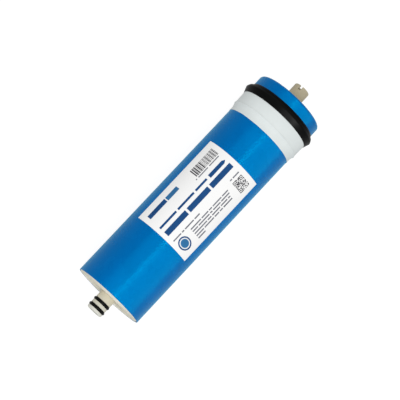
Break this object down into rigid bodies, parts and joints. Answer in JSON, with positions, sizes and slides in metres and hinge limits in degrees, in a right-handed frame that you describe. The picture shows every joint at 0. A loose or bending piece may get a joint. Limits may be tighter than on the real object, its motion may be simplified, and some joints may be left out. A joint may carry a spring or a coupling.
{
  "type": "ro membrane element",
  "caption": "Spiral-wound reverse osmosis membrane element: taped cylinder with an O-ring spigot, a closed slotted stub and a lip seal.",
  "frame": {"origin": "middle of the element's bounding box, which lies on the tube's axis", "axes": "+X along the tube's axis, towards the closed and slotted end; +Z out through the middle of the label; -X leads to the O-ring spigot"},
  "size_m": [0.298, 0.0834, 0.0834],
  "materials": {
    "tube_plastic": "smooth cream moulding, slightly glossy",
    "ring_rubber": "black, smooth",
    "membrane_film": "off-white coated film",
    "spacer_net": "pale net seen on edge",
    "carrier_cloth": "white knitted cloth",
    "wrap_tape": "glossy blue tape",
    "label_paper": null,
    "seal_rubber": "black, matte with a soft sheen",
    "band_tape": "white tape"
  },
  "bodies": {
    "root": {"permeate_tube": "tube_plastic", "o_ring_tip": "ring_rubber", "o_ring_inner": "ring_rubber", "membrane_leaf_1": "membrane_film", "membrane_leaf_2": "membrane_film", "membrane_leaf_3": "membrane_film", "feed_spacer_1": "spacer_net", "feed_spacer_2": "spacer_net", "feed_spacer_3": "spacer_net", "permeate_carrier_1": "carrier_cloth", "permeate_carrier_2": "carrier_cloth", "permeate_carrier_3": "carrier_cloth", "outer_wrap": "wrap_tape", "label": "label_paper", "brine_seal": "seal_rubber", "seal_band": "band_tape"}
  },
  "joints": []
}
